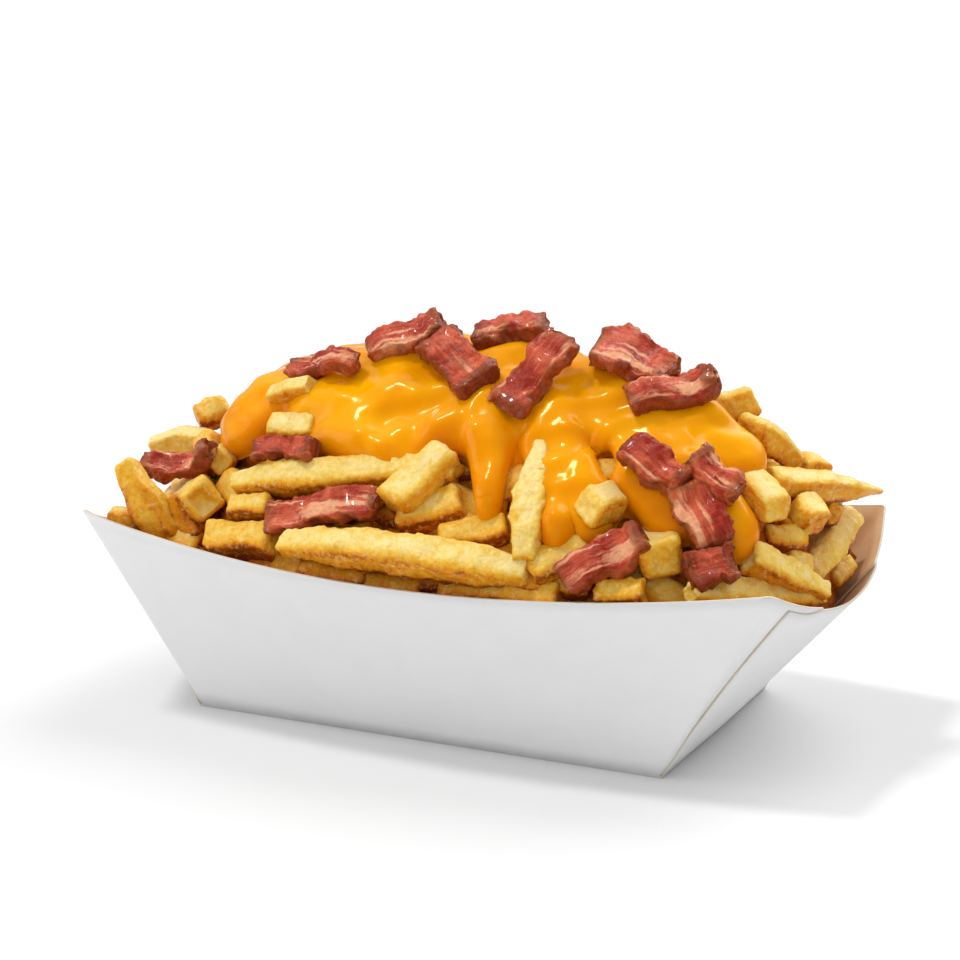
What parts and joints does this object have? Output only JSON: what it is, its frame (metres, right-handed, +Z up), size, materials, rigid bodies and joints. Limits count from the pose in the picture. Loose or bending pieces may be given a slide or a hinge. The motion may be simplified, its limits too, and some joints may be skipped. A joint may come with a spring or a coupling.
{
  "type": "loaded french fries in a paperboard food tray",
  "caption": "Open white paperboard food tray heaped with french fries under poured cheese sauce and pieces of bacon.",
  "frame": {"origin": "centre of the underside of the tray's base, on the surface that it stands on", "axes": "+X along the tray's length, +Y away from the side seen in the picture, +Z up"},
  "size_m": [0.1898, 0.1045, 0.096],
  "materials": {
    "board": "smooth uncoated white board, brown on the inside",
    "fried_potato": "golden fried potato with a slight sheen of oil",
    "cheese": "glossy deep yellow cheese sauce",
    "bacon": "fried bacon, dark red lean meat with paler streaks of fat"
  },
  "bodies": {
    "root": {"carton": "board", "fries": "fried_potato", "cheese_sauce": "cheese", "bacon_01": "bacon", "bacon_02": "bacon", "bacon_03": "bacon", "bacon_04": "bacon", "bacon_05": "bacon", "bacon_06": "bacon", "bacon_07": "bacon", "bacon_08": "bacon", "bacon_09": "bacon", "bacon_10": "bacon", "bacon_11": "bacon", "bacon_12": "bacon", "bacon_13": "bacon", "bacon_14": "bacon", "bacon_15": "bacon"}
  },
  "joints": []
}
